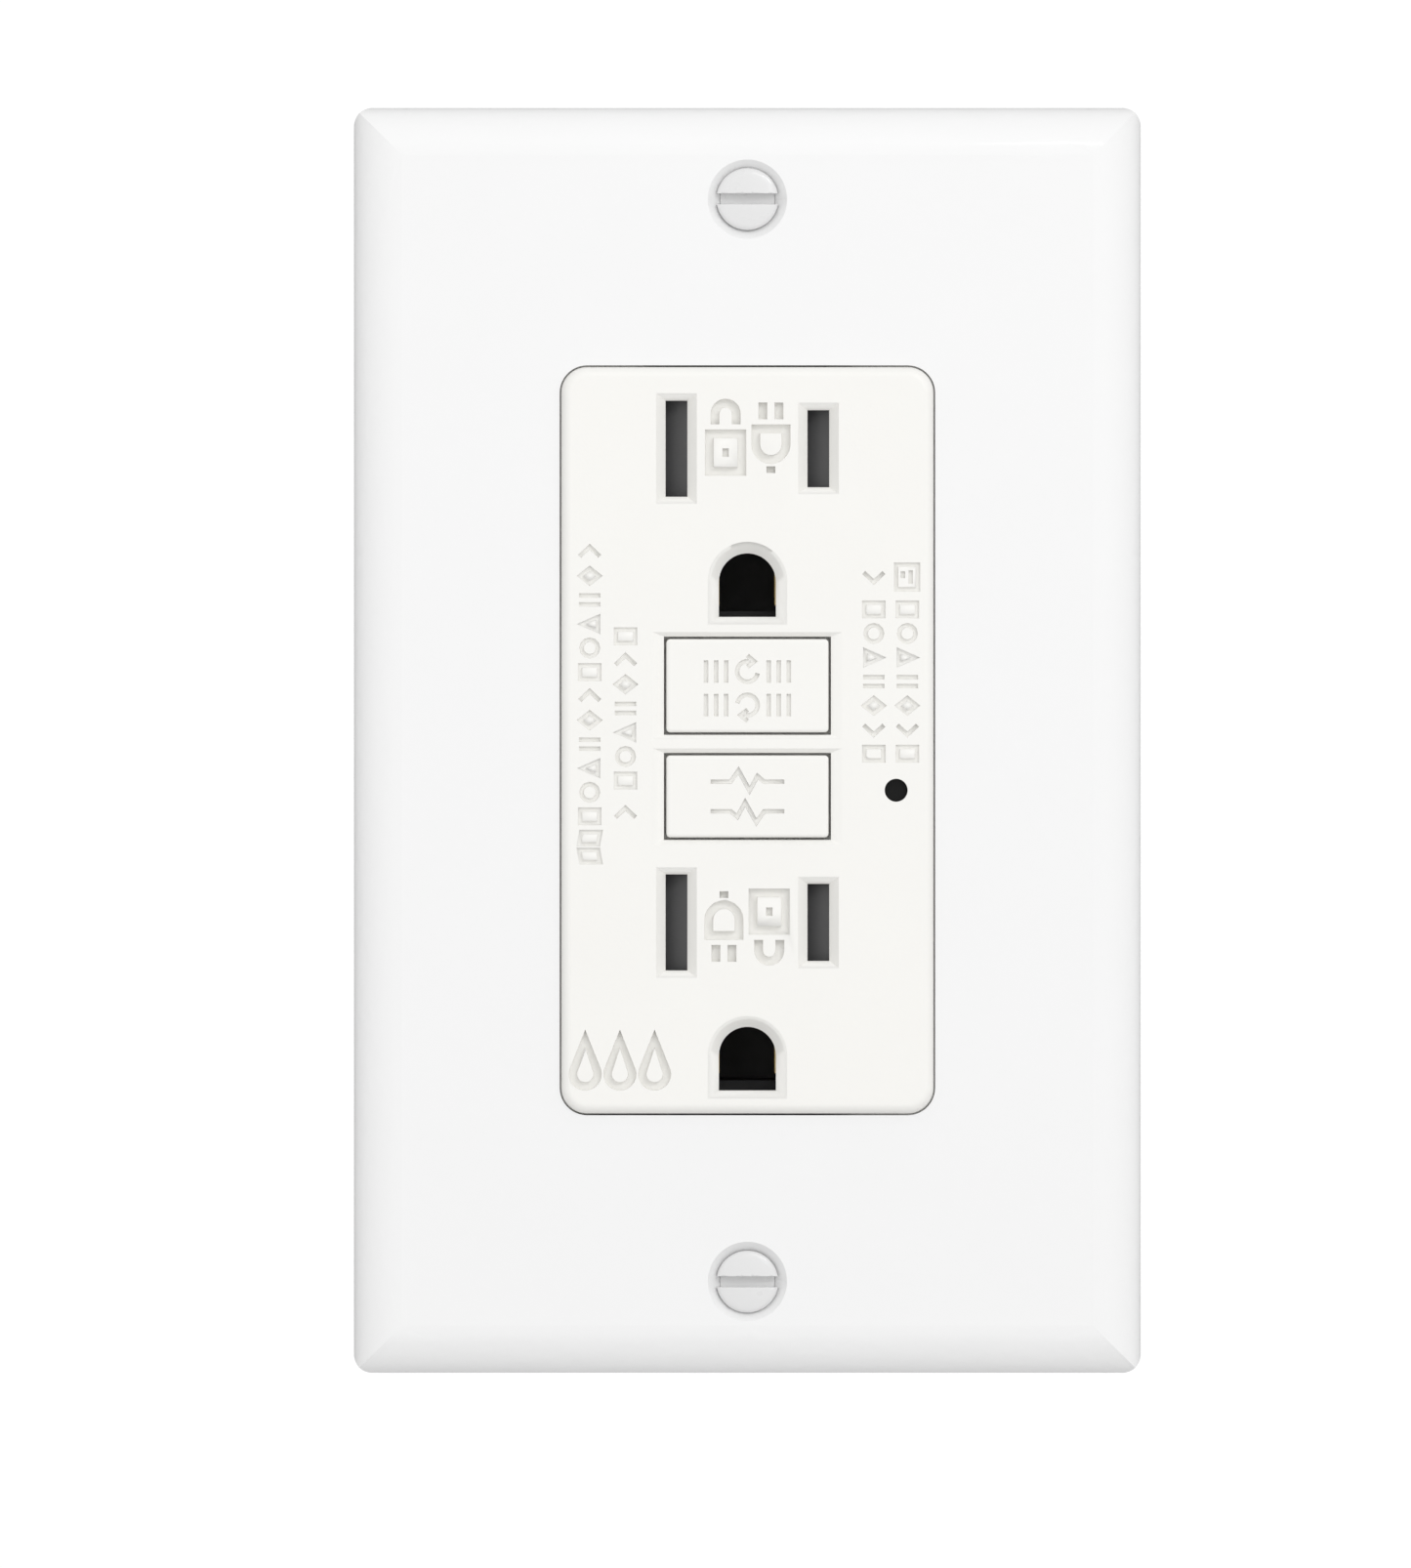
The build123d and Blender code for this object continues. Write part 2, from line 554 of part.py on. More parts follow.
# ---------- inner and rear housings ----------
def ground_cup(z):
    """A closed cup behind a ground pin's hole, with a sill that stands up through the strap."""
    cup = block(about(0, 5.0), (TRAY_FLOOR[0], 16.2), about(z, 4.2))
    cup = cup - block(about(0, 4.2), (TRAY_FLOOR[0] - 1, 15.4), about(z, 3.4))
    return cup + block(about(0, 2.7), (5.6, 15.6), (z - 3.35, z - 2.5))


def middle_housing():
    """The tray between the strap and the circuit board, with towers round the blade clips."""
    half_x, half_z, wall = 19.1, 32.6, 1.2
    front = PARTING + 0.1
    tray = block(about(0, half_x), (front, TRAY_FLOOR[1]), about(0, half_z))
    tray = tray - block(about(0, half_x - wall), (front, TRAY_FLOOR[0]), about(0, half_z - wall))
    tray = tray + block(about(0, 4.6), (5.0, TRAY_FLOOR[0] + 0.2), (-7.9, 8.9))
    for receptacle in RECEPTACLES:
        tray = tray - block(about(0, 4.2), (TRAY_FLOOR[0] - 0.2, 15), about(ground_z(receptacle), 3.4))
        for side in SIDES.values():
            z = SLOT_Z[receptacle]
            tray = tray + block(sided(side, (3.6, 9.2)), (2.2, TRAY_FLOOR[0] + 0.2), about(z, 6.3))
            tray = tray - block(sided(side, (4.5, 8.3)), (2.0, TRAY_FLOOR[0]), about(z, 5.3))
            tray = tray - block(sided(side, (8.0, 9.4)), (2.0, TRAY_FLOOR[0]), about(z, 3.2))
        tray = tray + ground_cup(ground_z(receptacle))
    for side in SIDES.values():
        tray = tray - block(sided(side, (7.6, 11.4)), (TRAY_FLOOR[0] - 0.1, 15), about(CONTACT_Z, 2.1))
        tray = tray - block(sided(side, (9.6, 11.2)), (TRAY_FLOOR[0] - 0.1, 15), about(TERMINAL_Z, 3.4))
    for x, z in corners(HOUSING_SCREW_X, HOUSING_SCREW_Z):
        right, up = (1 if x > 0 else -1), (1 if z > 0 else -1)
        through = (front - 1, 15)
        tray = tray - rod(3.0, through, (x, z))
        tray = tray - block(sided(right, (17.2, 20)), through, sided(up, (27.7, 33)))
        tray = tray - block(sided(right, (14.2, 20)), through, sided(up, (30.7, 33)))
    tray = tray - block(about(GROUND_SCREW_X, 2.6), (front - 1, 15), (-33, -30.6))
    tray = tray - rod(PIN_R + 0.25, (4, 15), (0, RESET_Z))
    return tray - rod(2.1, (TRAY_FLOOR[0] - 1, 15), (LIGHT_X, LIGHT_Z))


def rear_housing():
    """The deep rear shell with terminal windows, wire holes and screw columns."""
    shell = rounded(BODY_WIDTH, BODY_HEIGHT, (PARTING, BODY_BACK), 1.5)
    shell = fillet(shell.faces().sort_by(Axis.Y)[-1].edges(), 1.2)
    inside = (BODY_WIDTH - 2 * BODY_WALL, BODY_HEIGHT - 2 * BODY_WALL)
    shell = shell - rounded(*inside, (PARTING, BODY_BACK - BACK_WALL), 1.0)
    for x, z in corners(HOUSING_SCREW_X, HOUSING_SCREW_Z):
        shell = shell + rod(COLUMN_R, (PARTING, BODY_BACK - 1), (x, z))
        shell = shell - rod(1.4, (0, BODY_BACK), (x, z)) - rod(2.7, (BODY_BACK - 1.6, BODY_BACK), (x, z))
    for side in SIDES.values():
        for end in ENDS.values():
            z = end * TERMINAL_Z
            shell = shell - block(sided(side, (19.0, 21.5)), (14.6, 24.6), about(z, 5.6))
            for lip in (-1, 1):
                rib = about(z + lip * 6.1, 0.5)
                shell = shell + block(sided(side, (12.2, 19.6)), (18.6, BODY_BACK - 1), rib)
                wire = (side * WIRE_HOLE_X, z + lip * WIRE_HOLE_APART / 2)
                shell = shell - rod(WIRE_HOLE_R, (BODY_BACK - BACK_WALL, BODY_BACK), wire)
    shell = shell - rounded(20, 34, (BODY_BACK - 0.4, BODY_BACK), 2.0)
    return shell - rod(2.4, (-35, -32), (GROUND_SCREW_X, GROUND_SCREW_Y), "z")


def housing_screw(x, z):
    """A long screw from the back that holds the housings together."""
    seat = BODY_BACK - 1.6
    tip, head_r, rim, top = 3.2, 2.4, seat + 0.9, seat + 1.4
    points = [(0, tip), (HOUSING_SCREW_R, tip), (HOUSING_SCREW_R, seat), (head_r, seat)]
    points += [(head_r, rim), (head_r - 0.5, top), (0, top)]
    screw = turned(points, x, z)
    screw = screw - block(about(x, 1.6), (seat + 0.5, BODY_BACK), about(z, 0.35))
    return screw - block(about(x, 0.35), (seat + 0.5, BODY_BACK), about(z, 1.6))


# ---------- electronics ----------
def circuit_board():
    board = Rectangle(37.2, 63.6)
    for side in SIDES.values():
        for end in ENDS.values():
            board = board - Pos(side * 15.2, end * 17.3) * Rectangle(8, 13.8)
    board = board - Pos(0, 3.6) * Rectangle(24, 11.2)
    for x, z in corners(HOUSING_SCREW_X, HOUSING_SCREW_Z):
        board = board - Pos(x, z) * Rectangle(6, 6)
    return plate_of(board, BOARD)


def sensor_case():
    """The cup over the sensor's cores, open to the board."""
    cup = rod(9.2, (18.1, 27.0), (0, SENSOR_Z)) - rod(8.3, (18.1, 26.1), (0, SENSOR_Z))
    return cup + rod(3.9, (18.1, 26.5), (0, SENSOR_Z)) - rod(3.0, (18, 28), (0, SENSOR_Z))


def sensor_core(depth):
    """One wound ring core."""
    ring = rod(7.9, depth, (0, SENSOR_Z)) - rod(4.4, depth, (0, SENSOR_Z))
    return fillet(ring.edges().filter_by(GeomType.CIRCLE), 0.6)


def line_conductor(side):
    """A wire through the sensor and back to the board."""
    front, back, return_z = 18.05, 27.8, -26.6
    turns = ((front, SENSOR_Z), (back, SENSOR_Z), (back, return_z), (front, return_z))
    points = [(side * 1.4, y, z) for y, z in turns]
    path = FilletPolyline(*points, radius=1.5)
    start = Plane(origin=points[0], z_dir=(0, 1, 0))
    return sweep(start * Circle(0.7), path=path)


def solenoid_frame():
    frame = block(about(0, 6.5), (18.1, 28.2), (12.6, 28.6))
    frame = frame - block(about(0, 7), (18.0, 27.2), (13.6, 27.6))
    return frame - rod(2.3, (12, 30), (0, SOLENOID_Y), "z")


def solenoid_bobbin():
    bobbin = rod(2.7, (13.65, 27.55), (0, SOLENOID_Y), "z")
    for flange in ((13.65, 14.5), (26.7, 27.55)):
        bobbin = bobbin + rod(4.4, flange, (0, SOLENOID_Y), "z")
    return bobbin - rod(2.15, (13, 28), (0, SOLENOID_Y), "z")


def solenoid_winding():
    span = (14.5, 26.7)
    return rod(4.0, span, (0, SOLENOID_Y), "z") - rod(2.7, span, (0, SOLENOID_Y), "z")


def plunger():
    return rod(1.2, (10.9, 17), (0, SOLENOID_Y), "z") + rod(2.0, (16.5, 26.5), (0, SOLENOID_Y), "z")


def latch_block():
    """The carriage that lifts the contact arms, with a passage for the latch plate."""
    carriage = block(about(0, 6.4), (17.0, 24.6), (0.6, 8.7))
    carriage = carriage + block(about(0, 6.4), (15.0, 17.1), (2.6, 7.2))
    carriage = carriage + block(about(0, 11.0), (ARM[1] + 0.02, 17.1), (3.6, 6.2))
    carriage = carriage - block(about(0, 4.2), (LATCH[0] - 0.1, LATCH[1] + 0.1), (0, 9.5))
    return carriage - rod(PIN_R + 0.3, (14, 25), (0, RESET_Z))


def latch_plate():
    """The steel plate that hooks the reset pin's neck, with an upturned end for the plunger."""
    keyhole = block(about(0, 1.75), LATCH, (RESET_Z - 1.0, RESET_Z + 2.9))
    plate = block(about(0, 4.0), LATCH, (-1.5, 10.8))
    return plate + block(about(0, 3.0), (21.0, 24.2), (10.0, 10.8)) - keyhole


def control_chip():
    chip = block((-12.0, -2.2), (18.6, 20.2), (-30.6, -26.7))
    for lead in range(4):
        x = -10.9 + 2.54 * lead
        for z in ((-31.4, -30.5), (-26.8, -25.9)):
            chip = chip + block(about(x, 0.22), (18.1, 19.3), z)
    return chip


def thyristor():
    body = rod(2.3, (20.0, 24.6), (7.5, -28.6)) - block((5, 10), (19, 25), (-27.4, -26))
    for lead in (-1, 0, 1):
        body = body + block(about(7.5 + 1.27 * lead, 0.22), (18.1, 20.1), about(-28.6, 0.22))
    return body


def varistor():
    disc = rod(4.6, (14.4, 18.0), (23.4, -1.0), "x")
    disc = fillet(disc.edges().filter_by(GeomType.CIRCLE), 0.8)
    for z in (-3.5, 1.5):
        disc = disc + rod(0.4, (18.1, 21), (16.2, z))
    return disc


def film_capacitor():
    return block((-18.2, -13.2), (18.1, 25.6), (-8.8, 2.4))


def round_capacitor():
    body = rod(2.7, (18.1, 26.0), (-15.6, 5.8))
    return fillet(body.edges().filter_by(GeomType.CIRCLE), 0.4)


def lying_part(radius, length, x, z, along):
    """A small round-bodied component whose two leads bend down to the board."""
    centre_y, lead, reach = 19.6, 0.28, length / 2 + 1.3
    middle = x if along == "x" else z
    across = (centre_y, z) if along == "x" else (x, centre_y)
    body = rod(radius, about(middle, length / 2), across, along)
    body = body + rod(lead, about(middle, reach), across, along)
    for end in (-1, 1):
        foot = (x + end * reach, z) if along == "x" else (x, z + end * reach)
        body = body + rod(lead, (18.05, centre_y + lead), foot)
    return body


def main():
    os.makedirs(PARTS_FOLDER, exist_ok=True)
    save("wall_plate", wall_plate())
    save_group("plate_screws", [plate_screw(z) for z in (PLATE_SCREW_Z, -PLATE_SCREW_Z)])
    save("face_cover", face_cover())
    save("reset_button", reset_button())
    save("reset_pin", reset_pin())
    save("reset_spring", coil_envelope(2.6, 0.45, (BUTTON_UNDERSIDE + 0.02, 4.98), (0, RESET_Z), "y"))
    save("test_button", test_button())
    save("test_leaf", test_leaf())
    save("indicator_light_pipe", indicator_light_pipe())
    save("indicator_led", indicator_led())
    for receptacle in RECEPTACLES:
        z = SLOT_Z[receptacle]
        save("shutter_slider_" + receptacle, shutter_slider(z))
        save("shutter_guide_" + receptacle, shutter_guide(z))
        span, centre = (SHUTTER_SPAN[1] + 0.02, SPRING_SEAT_X - 0.02), (sum(SHUTTER) / 2, z)
        save("shutter_spring_" + receptacle, coil_envelope(0.75, 0.3, span, centre, "x"))
        save("ground_contact_" + receptacle, ground_contact(ground_z(receptacle)))
    save("mounting_strap", mounting_strap())
    rivet_places = [(x, ground_z(receptacle)) for receptacle in RECEPTACLES for x in (-RIVET_X, RIVET_X)]
    save_group("contact_rivets", [contact_rivet(x, z) for x, z in rivet_places])
    save_group("mounting_screws", [box_screw(z) for z in (BOX_SCREW_Z, -BOX_SCREW_Z)])
    save_group("screw_retainers", [screw_retainer(z) for z in (BOX_SCREW_Z, -BOX_SCREW_Z)])
    save("ground_screw", ground_screw())
    save_group("fixed_contacts", [fixed_contact(side) for side in SIDES.values()])
    for name, side in SIDES.items():
        save(name + "_contact_strip", contact_strip(side))
        save("line_" + name + "_terminal", line_terminal(side))
        save("contact_arm_" + name, contact_arm(side))
        save("moving_contact_" + name, moving_contact(side))
        for end_name, end in ENDS.items():
            save("terminal_screw_" + end_name + "_" + name, terminal_screw(side, end))
            save("clamp_plate_" + end_name + "_" + name, clamp_plate(side, end))
    save("middle_housing", middle_housing())
    save("rear_housing", rear_housing())
    housing_places = corners(HOUSING_SCREW_X, HOUSING_SCREW_Z)
    save_group("housing_screws", [housing_screw(x, z) for x, z in housing_places])
    save("circuit_board", circuit_board())
    save("sensor_case", sensor_case())
    save_group("sensor_cores", [sensor_core((18.8, 21.9)), sensor_core((22.4, 25.5))])
    save_group("line_conductors", [line_conductor(side) for side in SIDES.values()])
    save("solenoid_frame", solenoid_frame())
    save("solenoid_bobbin", solenoid_bobbin())
    save("solenoid_winding", solenoid_winding())
    save("plunger", plunger())
    save("plunger_spring", coil_envelope(1.6, 0.3, (13.7, 16.45), (0, SOLENOID_Y), "z"))
    save("latch_block", latch_block())
    save("latch_plate", latch_plate())
    save("control_chip", control_chip())
    save("thyristor", thyristor())
    save("varistor", varistor())
    save_group("capacitors", [film_capacitor(), round_capacitor()])
    save_group("resistors", [lying_part(1.1, 5.6, x, 30.2, "x") for x in (-9.0, 0, 9.0)])
    diode_places = [(side * 9.2, z) for side in SIDES.values() for z in (15.0, 23.4)]
    save_group("diodes", [lying_part(1.1, 4.2, x, z, "z") for x, z in diode_places])


main()
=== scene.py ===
"""Looks of a ground-fault receptacle and its wall plate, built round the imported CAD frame."""
import json
import math

import bmesh
import bpy
from mathutils import Matrix, Vector

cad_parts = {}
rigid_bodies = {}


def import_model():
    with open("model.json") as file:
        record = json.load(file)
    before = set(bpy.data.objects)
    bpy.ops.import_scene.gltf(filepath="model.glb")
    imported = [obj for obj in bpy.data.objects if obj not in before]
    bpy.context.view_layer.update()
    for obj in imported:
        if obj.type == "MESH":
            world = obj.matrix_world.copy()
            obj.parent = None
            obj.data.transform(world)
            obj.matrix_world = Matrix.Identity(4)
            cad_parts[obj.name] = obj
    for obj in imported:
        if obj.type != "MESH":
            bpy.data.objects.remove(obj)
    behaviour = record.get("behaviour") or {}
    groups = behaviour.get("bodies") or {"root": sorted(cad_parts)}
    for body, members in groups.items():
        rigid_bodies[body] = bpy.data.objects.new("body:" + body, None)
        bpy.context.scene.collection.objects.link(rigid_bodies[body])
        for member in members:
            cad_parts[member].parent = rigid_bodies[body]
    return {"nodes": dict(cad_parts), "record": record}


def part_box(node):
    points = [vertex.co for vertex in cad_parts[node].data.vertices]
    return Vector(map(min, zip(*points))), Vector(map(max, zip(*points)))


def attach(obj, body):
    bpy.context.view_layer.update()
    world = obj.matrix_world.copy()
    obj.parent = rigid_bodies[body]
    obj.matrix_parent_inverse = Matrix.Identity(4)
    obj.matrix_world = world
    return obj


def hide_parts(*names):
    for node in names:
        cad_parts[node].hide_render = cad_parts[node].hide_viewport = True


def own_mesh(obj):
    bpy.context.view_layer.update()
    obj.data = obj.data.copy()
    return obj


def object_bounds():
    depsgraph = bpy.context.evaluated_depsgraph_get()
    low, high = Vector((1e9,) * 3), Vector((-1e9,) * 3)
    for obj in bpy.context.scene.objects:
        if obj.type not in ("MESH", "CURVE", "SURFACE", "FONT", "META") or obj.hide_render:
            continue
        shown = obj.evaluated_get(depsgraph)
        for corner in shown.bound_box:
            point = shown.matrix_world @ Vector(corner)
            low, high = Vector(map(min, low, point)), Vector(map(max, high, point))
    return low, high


MM = 0.001

# Materials, in mm
NOISE_LOW, NOISE_HIGH = 0.3, 0.7         # most of a noise's values lie between these
COLOUR_PATCH = 9.0                       # patches of slightly different colour on plastic
GLOSS_PATCH = 2.5                        # patches of slightly different gloss on plastic
TARNISH_PATCH = 3.0                      # patches of tarnish on metal
COAT_ROUGHNESS = 0.06
WHITE_PLATE = (0.84, 0.84, 0.84)
WHITE_FACE = (0.855, 0.847, 0.818)
BRUSHED = (1, 1, 14)                     # scratches drawn out along Z
TURNED = (1, 8, 8)                       # scratches drawn out across X, the terminal screws' axis

# Meshes
WELD_DISTANCE = 0.0005 * MM
FLAT_ANGLE = 0.5                         # degrees between faces that count as one flat face
FACE_SHARP, SCREW_SHARP, COIL_SHARP, LEAF_SHARP = 28, 40, 60, 35    # degrees past which an edge is sharp

# Engraving, in mm on the front of the device
ENGRAVE_DEPTH = 2.1                      # depth of a groove over half its width
ENGRAVE_DRAFT = 0.04                     # added to half a groove's width at the surface
LARGE_STROKE, DROP_STROKE, KEYHOLE_STROKE, SMALL_STROKE = 0.36, 0.34, 0.25, 0.165    # half widths
MITRE_LIMIT = 0.45                       # stops a sharp corner from reaching out too far
OVERSHOOT = 0.05                         # how far a cutter stands out of the surface
UPPER_ICONS_Z, LOWER_ICONS_Z = 27.1, -16.7
PADLOCK_X, PLUG_X = -1.95, 2.1
DROPS_X, DROPS_Z, DROP_PITCH = -11.4, -28.9, 3.1
LEADER_INSET = 1.2                       # from a line's start to the middle of its first icon
LEADER_LENGTH = 2.9                      # what that icon and the gap behind it take up
SHAPE_PITCH = 2.15
RESET_ROWS = ((6.15, 0), (3.15, 180))    # height and turn of each row
TEST_ROWS = ((-3.6, 0), (-6.45, 180))
RESET_FLANKS = (1.9, 2.8, 3.7)           # where the upright bars stand beside an icon

# Screws and springs
LATHE_SEGMENTS = 64
SCREW_PITCH = 0.794 * MM                 # 32 threads to the inch
THREAD_SEGMENTS, THREAD_STEPS = 32, 8    # round the screw, and along one pitch
TOOTH_TAPER = 2.4                        # how fast a tooth falls away from its middle
TOOTH_CREST = 1.25                       # over 1, it leaves a flat crest
THREAD_START = 0.2                       # how much of its height a thread starts with
OVAL_HEAD_SHARE = 0.985                  # of the CAD head's radius
CONE_SLOPE = 0.869                       # slope of an 82 degree screw head
DOME_STEPS = 9
AXIS_GAP = 0.02 * MM                     # keeps a profile's points off the axis
WIRE_SEGMENTS, COIL_STEPS = 12, 28       # round the wire, and along one turn
END_CLOSING = 0.055                      # how much the end turns of a coil close up
SPRINGS = [                              # node, axis, wire in mm, turns, joint it belongs to or None
    ("reset_spring", (0, 1, 0), 0.45, 6, "reset_press"),
    ("shutter_spring_upper", (1, 0, 0), 0.28, 7, "upper_shutter_slide"),
    ("shutter_spring_lower", (1, 0, 0), 0.28, 7, "lower_shutter_slide"),
    ("plunger_spring", (0, 0, -1), 0.28, 5, "trip"),
    ("solenoid_winding", (0, 0, 1), 0.32, 37, None),
]

# Studio, in metres
LIGHT_LEVEL = 0.793                      # brightness of the studio at eye height
LIGHT_LEAN = (0.03, -0.36, -0.04)        # it is brighter to the right, to the front and a little down
LIGHT_FLOOR = -0.36                      # how much darker it is straight down
HORIZON = 0.1                            # height of direction from which it no longer darkens
BACKDROP_START, BACKDROP_FULL = 0.93, 0.98    # how far towards +Y the white backdrop begins
BACKDROP_LEVEL = 1.05
SOFTBOXES = [                            # name, place from the object's centre, size, watts
    ("key", (0.8, -1.6, 0.9), (0.4, 0.4), 5.0),
    ("top_glint", (0.15, -0.83, 0.39), (0.2, 0.05), 0.27),
    ("side_glint", (0.2, -0.88, 0.2), (0.035, 0.2), 0.14),
]
FLOOR_RADIUS, FLOOR_DROP, FLOOR_SEGMENTS = 0.24, 0.085, 96
CAMERA_X, CAMERA_Z, CAMERA_DISTANCE = -0.00375, -0.00391, 1.1
VIEW_HEIGHT = 0.1402                     # what the picture's height covers at the object's front
SENSOR = 36                              # mm, along the picture's longer side

for leftover in list(bpy.data.objects):
    bpy.data.objects.remove(leftover)
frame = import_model()
cad_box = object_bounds()
nodes = frame["nodes"]
record = frame["record"]
behaviour = record["behaviour"]
slot_of = {entry["node"]: entry["material_slot"] for entry in record["subparts"]}
body_of = {node: body for body, members in behaviour["bodies"].items() for node in members}


# ---------- materials ----------
materials = {}                           # each material by the name of its slot


def shader(name, colour, roughness, metallic=0.0):
    """A new material, kept in materials, with its tree, shader and object coordinates."""
    material = bpy.data.materials.new(name)
    materials[name] = material
    material.use_nodes = True
    tree = material.node_tree
    principled = tree.nodes["Principled BSDF"]
    principled.inputs["Base Color"].default_value = (*colour, 1)
    principled.inputs["Roughness"].default_value = roughness
    principled.inputs["Metallic"].default_value = metallic
    place = tree.nodes.new("ShaderNodeTexCoord").outputs["Object"]
    return tree, principled, place


def noise(tree, place, size_mm, detail=2.0, stretch=(1, 1, 1)):
    """Noise whose blobs are size_mm across, stretched along an axis."""
    mapping = tree.nodes.new("ShaderNodeMapping")
    mapping.inputs["Scale"].default_value = [1 / factor for factor in stretch]
    tree.links.new(place, mapping.inputs["Vector"])
    texture = tree.nodes.new("ShaderNodeTexNoise")
    texture.inputs["Scale"].default_value = 1 / (size_mm * MM)
    texture.inputs["Detail"].default_value = detail
    tree.links.new(mapping.outputs["Vector"], texture.inputs["Vector"])
    return texture.outputs["Fac"]


def uneven_gloss(tree, principled, factor, roughness, spread):
    """Roughness that wanders either side of its value."""
    ramp = tree.nodes.new("ShaderNodeMapRange")
    ramp.inputs["From Min"].default_value = NOISE_LOW
    ramp.inputs["From Max"].default_value = NOISE_HIGH
    ramp.inputs["To Min"].default_value = roughness - spread
    ramp.inputs["To Max"].default_value = roughness + spread
    tree.links.new(factor, ramp.inputs["Value"])
    tree.links.new(ramp.outputs["Result"], principled.inputs["Roughness"])


def mottle(tree, principled, factor, colour, drift):
    """Base colour that drifts a little lighter and darker."""
    blend = tree.nodes.new("ShaderNodeMix")
    blend.data_type = "RGBA"
    blend.inputs["A"].default_value = (*[channel * (1 - drift) for channel in colour], 1)
    blend.inputs["B"].default_value = (*[min(1, channel * (1 + drift)) for channel in colour], 1)
    tree.links.new(factor, blend.inputs["Factor"])
    tree.links.new(blend.outputs["Result"], principled.inputs["Base Color"])


def bump(tree, principled, height, depth_mm):
    """A fine relief, depth_mm deep."""
    node = tree.nodes.new("ShaderNodeBump")
    node.inputs["Distance"].default_value = depth_mm * MM
    tree.links.new(height, node.inputs["Height"])
    tree.links.new(node.outputs["Normal"], principled.inputs["Normal"])


def plastic(name, colour, roughness, grain_mm, grain_depth,
            spread=0.04, drift=0.012, coat=0.0, sheen=0.5):
    """Moulded plastic: a fine grain, patches of slightly different gloss, faint colour drift."""
    tree, principled, place = shader(name, colour, roughness)
    principled.inputs["Specular IOR Level"].default_value = sheen
    principled.inputs["Coat Weight"].default_value = coat
    principled.inputs["Coat Roughness"].default_value = COAT_ROUGHNESS
    mottle(tree, principled, noise(tree, place, COLOUR_PATCH), colour, drift)
    uneven_gloss(tree, principled, noise(tree, place, GLOSS_PATCH, detail=3.0), roughness, spread)
    bump(tree, principled, noise(tree, place, grain_mm, detail=3.0), grain_depth)


def metal(name, colour, roughness, stretch=(1, 1, 1),
          grain_mm=0.2, grain_depth=0.004, drift=0.06, spread=0.08):
    """Metal: fine scratches along one axis, uneven gloss and slight tarnish."""
    tree, principled, place = shader(name, colour, roughness, metallic=1.0)
    mottle(tree, principled, noise(tree, place, TARNISH_PATCH, detail=4.0), colour, drift)
    scratches = noise(tree, place, grain_mm, detail=4.0, stretch=stretch)
    uneven_gloss(tree, principled, scratches, roughness, spread)
    bump(tree, principled, scratches, grain_depth)


def enamel(name, colour, roughness):
    """Thick paint over metal, with a slight orange peel."""
    plastic(name, colour, roughness, 0.6, 0.006, spread=0.05, drift=0.02, coat=0.4)


plastic("plate_white", WHITE_PLATE, 0.38, 1.4, 0.0015, spread=0.03, drift=0.006, coat=0.8)
plastic("face_white", WHITE_FACE, 0.5, 0.28, 0.006, spread=0.06, drift=0.01)
plastic("button_white", WHITE_FACE, 0.42, 0.3, 0.004, spread=0.05, drift=0.01)
enamel("white_screw", (0.72, 0.72, 0.72), 0.3)
plastic("shutter_grey", (0.105, 0.105, 0.107), 0.42, 0.3, 0.006, spread=0.06, drift=0.05)
plastic("guide_grey", (0.06, 0.06, 0.063), 0.5, 0.3, 0.006)
plastic("tray_plastic", (0.05, 0.05, 0.052), 0.5, 0.35, 0.008, spread=0.06, drift=0.1)
plastic("housing_plastic", (0.56, 0.56, 0.55), 0.5, 0.35, 0.01, spread=0.07, drift=0.03)
metal("zinc_steel", (0.62, 0.63, 0.64), 0.36, BRUSHED)
metal("screw_steel", (0.66, 0.66, 0.64), 0.3, (6, 6, 6), grain_mm=0.3)
metal("spring_steel", (0.5, 0.51, 0.53), 0.28, grain_mm=0.1)
metal("brass", (0.80, 0.60, 0.27), 0.3, BRUSHED)
metal("brass_screw", (0.86, 0.66, 0.28), 0.24, TURNED, grain_mm=0.25)
metal("nickel_screw", (0.74, 0.73, 0.70), 0.22, TURNED, grain_mm=0.25)
metal("contact_silver", (0.86, 0.85, 0.83), 0.25)
metal("green_screw", (0.04, 0.36, 0.13), 0.3, (8, 8, 1), grain_mm=0.25, grain_depth=0.003, drift=0.12)
plastic("fibre", (0.32, 0.17, 0.08), 0.75, 0.5, 0.03, spread=0.08, drift=0.18)
plastic("dark_lens", (0.006, 0.006, 0.006), 0.3, 0.8, 0.001, drift=0.1, sheen=0.15)
plastic("led_lens", (0.62, 0.75, 0.55), 0.2, 0.8, 0.001, drift=0.03, coat=0.4)
plastic("board_green", (0.015, 0.12, 0.045), 0.32, 0.9, 0.006, spread=0.06, drift=0.25, coat=0.3)
plastic("component_black", (0.018, 0.018, 0.019), 0.5, 0.2, 0.008, spread=0.06, drift=0.2)
plastic("coil_black", (0.028, 0.028, 0.03), 0.45, 0.3, 0.006, spread=0.06, drift=0.15)
metal("ferrite", (0.42, 0.16, 0.06), 0.35, grain_mm=0.25, grain_depth=0.02, drift=0.2)
metal("copper", (0.76, 0.30, 0.12), 0.28, (1, 1, 6), grain_mm=0.15, drift=0.12)
plastic("bobbin_plastic", (0.74, 0.69, 0.56), 0.45, 0.4, 0.006, spread=0.06, drift=0.04)
plastic("varistor_blue", (0.02, 0.08, 0.36), 0.28, 0.7, 0.012, spread=0.06, drift=0.1, coat=0.4)
plastic("capacitor_yellow", (0.70, 0.46, 0.04), 0.3, 0.8, 0.008, spread=0.05, drift=0.05, coat=0.3)
plastic("resistor_tan", (0.56, 0.41, 0.24), 0.4, 0.4, 0.01, spread=0.06, drift=0.08)

